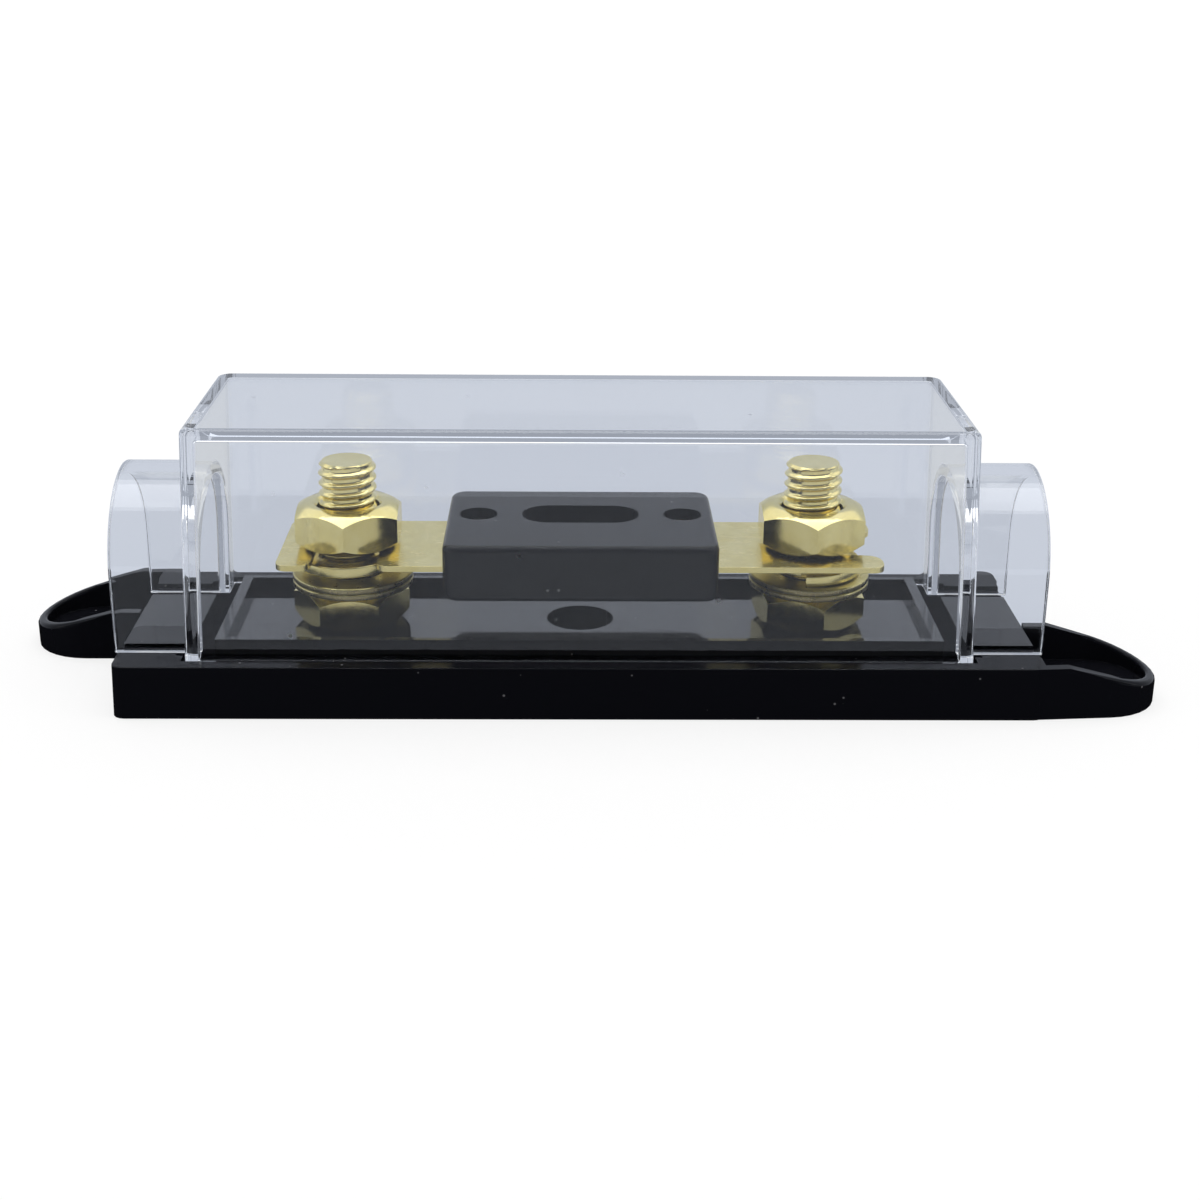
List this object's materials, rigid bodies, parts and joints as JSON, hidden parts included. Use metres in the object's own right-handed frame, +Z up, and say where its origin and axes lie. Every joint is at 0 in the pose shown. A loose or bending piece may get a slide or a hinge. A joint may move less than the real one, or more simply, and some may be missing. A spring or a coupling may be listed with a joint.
{
  "type": "fuse holder",
  "caption": "Bolt-down holder for a flat blade fuse: black moulded base with studs and fixing ears, the clamped fuse, and a clear lift-off cover with a cable tunnel at each end.",
  "frame": {"origin": "middle of the base's underside, which is the bottom centre of the whole part", "axes": "+X runs along the fuse from the left stud to the right stud, +Y runs to the back, +Z points up out of the surface that the base is screwed to"},
  "size_m": [0.1556, 0.038, 0.038],
  "materials": {
    "black_plastic": "glossy black moulded plastic, polished faces with fine scratches and dust",
    "clear_plastic": "clear moulded polycarbonate with a faint blue-grey tint",
    "gold_brass": "bright pale gold plated brass",
    "grey_plastic": "dark grey moulded plastic, satin",
    "clear_window": "thin clear pane over the fuse link"
  },
  "bodies": {
    "base": {"base": "black_plastic", "left_stud": "gold_brass", "right_stud": "gold_brass", "left_lower_nut": "gold_brass", "right_lower_nut": "gold_brass", "left_lower_washer": "gold_brass", "right_lower_washer": "gold_brass", "left_upper_washer": "gold_brass", "right_upper_washer": "gold_brass", "left_spring_washer": "gold_brass", "right_spring_washer": "gold_brass", "fuse_strip": "gold_brass", "fuse_body_lower": "grey_plastic", "fuse_body_upper": "grey_plastic", "fuse_window": "clear_window", "left_eyelet": "gold_brass", "right_eyelet": "gold_brass"},
    "cover": {"cover": "clear_plastic"},
    "left_top_nut": {"left_top_nut": "gold_brass"},
    "right_top_nut": {"right_top_nut": "gold_brass"}
  },
  "joints": [
    {"name": "cover_lift", "type": "slide", "parent": "base", "child": "cover", "axis": [0, 0, 1], "range_m": [0, 0.045]},
    {"name": "left_nut_turn", "type": "hinge", "parent": "base", "child": "left_top_nut", "pos_m": [-0.0315, 0, 0.0212], "axis": [0, 0, 1], "continuous": true},
    {"name": "right_nut_turn", "type": "hinge", "parent": "base", "child": "right_top_nut", "pos_m": [0.0315, 0, 0.0212], "axis": [0, 0, 1], "continuous": true}
  ]
}
